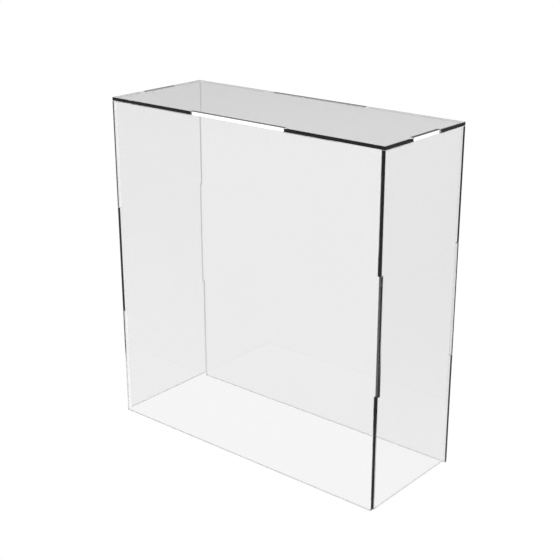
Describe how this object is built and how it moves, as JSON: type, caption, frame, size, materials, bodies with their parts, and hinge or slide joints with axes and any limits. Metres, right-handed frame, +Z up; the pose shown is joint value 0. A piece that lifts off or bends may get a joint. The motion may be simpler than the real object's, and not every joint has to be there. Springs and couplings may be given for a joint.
{
  "type": "display plinth",
  "caption": "Clear five-sided display plinth and dust cover, finger-jointed from flat sheet, with a flat deck and an open underside.",
  "frame": {"origin": "centre of the open rim, on the surface that the box stands on", "axes": "+X along the width, to the right as seen from the front; -Y out of the front panel; +Z up to the deck"},
  "size_m": [0.287, 0.109, 0.3],
  "materials": {
    "clear_sheet": "clear cast acrylic sheet with polished faces and black-looking laser-cut edges",
    "upright_cement": "clear cured solvent cement",
    "deck_cement": "cured solvent cement gone milky"
  },
  "bodies": {
    "root": {"top_panel": "clear_sheet", "front_panel": "clear_sheet", "right_panel": "clear_sheet", "back_panel": "clear_sheet", "left_panel": "clear_sheet", "seam_front_left": "upright_cement", "seam_front_right": "upright_cement", "seam_back_right": "upright_cement", "seam_back_left": "upright_cement", "seam_top_front": "deck_cement", "seam_top_right": "deck_cement", "seam_top_back": "deck_cement", "seam_top_left": "deck_cement"}
  },
  "joints": []
}
